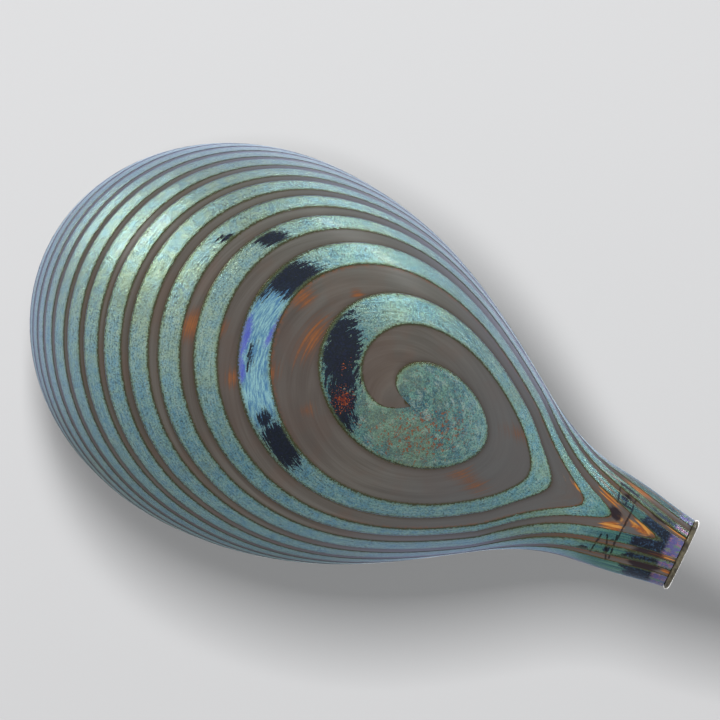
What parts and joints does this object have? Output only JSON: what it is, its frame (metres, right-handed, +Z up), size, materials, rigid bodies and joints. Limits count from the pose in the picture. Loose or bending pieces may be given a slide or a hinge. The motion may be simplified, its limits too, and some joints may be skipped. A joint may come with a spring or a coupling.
{
  "type": "glass bird figurine",
  "caption": "Blown glass bird with a plump egg-shaped body, a spiral lustre trail, a drawn open tail and a small head with a beak.",
  "frame": {"origin": "point of the flat rest under the belly, close below the centre of mass", "axes": "+X along the body from breast to tail, +Z up out of the back, -Z out of the flat rest"},
  "size_m": [0.22, 0.1228, 0.1419],
  "materials": {
    "amber_glass": "gloss, dark amber-brown gather with fine concentric streaks",
    "lustre_trail": "iridescent mottled teal lustre, turning blue and lavender at grazing angles",
    "clear_lip": "fire-polished clear glass"
  },
  "bodies": {
    "root": {"body_bubble": "amber_glass", "trail_length_1": "lustre_trail", "trail_length_2": "lustre_trail", "tail_lip_wrap": "clear_lip", "head": "amber_glass", "beak": "amber_glass"}
  },
  "joints": []
}
